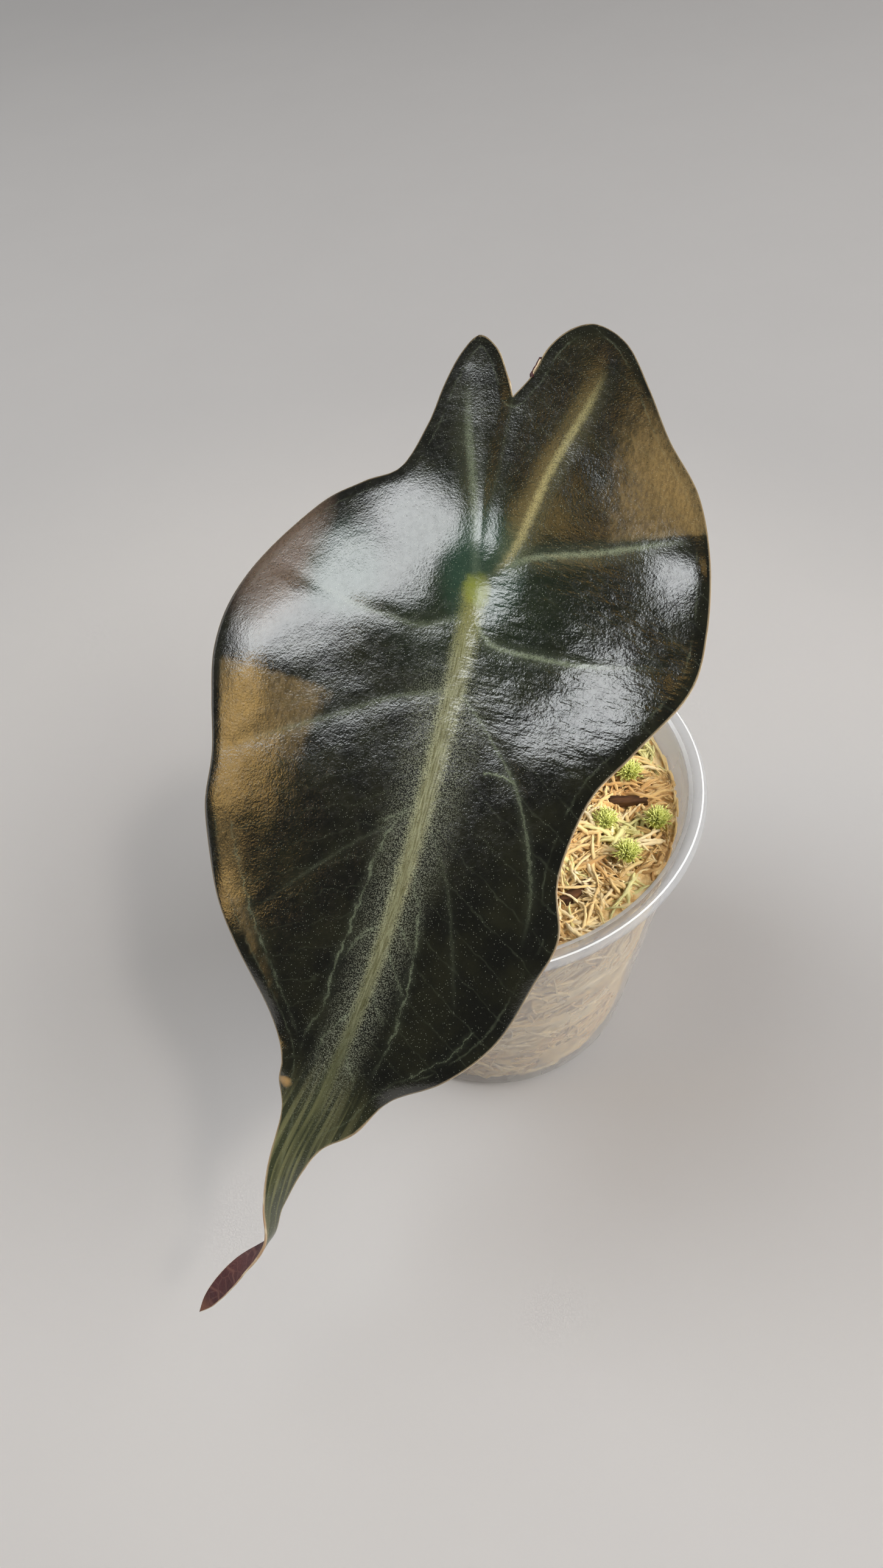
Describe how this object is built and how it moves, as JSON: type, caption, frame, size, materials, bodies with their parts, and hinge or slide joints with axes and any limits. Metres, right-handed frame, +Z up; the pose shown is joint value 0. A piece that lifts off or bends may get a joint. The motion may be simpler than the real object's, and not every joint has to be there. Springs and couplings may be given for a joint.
{
  "type": "potted venom alocasia",
  "caption": "Young dark alocasia with a large glossy arrow-shaped leaf on one stalk, planted in sphagnum moss in a clear tapered plastic cup.",
  "frame": {"origin": "middle of the cup's flat underside", "axes": "+Z up; the leaf's tip points towards -Y and -X, so that it is seen from above and in front when looking along +Y"},
  "size_m": [0.1117, 0.1342, 0.1498],
  "materials": {
    "clear_plastic": "clear, glossy, slightly hazy",
    "tan_moss": "damp, fibrous, matt",
    "green_moss": "live, soft, matt",
    "bark": "rough, dark brown",
    "corm": "rough, brown",
    "stalk": "smooth, olive with maroon flecks",
    "leaf": "satin gloss, blackish olive green with paler veins, maroon underside"
  },
  "bodies": {
    "root": {"cup": "clear_plastic", "moss": "tan_moss", "moss_head_1": "green_moss", "moss_head_2": "green_moss", "moss_head_3": "green_moss", "moss_head_4": "green_moss", "moss_head_5": "green_moss", "moss_head_6": "green_moss", "bark_1": "bark", "bark_2": "bark", "corm": "corm", "stalk": "stalk", "leaf": "leaf"}
  },
  "joints": []
}
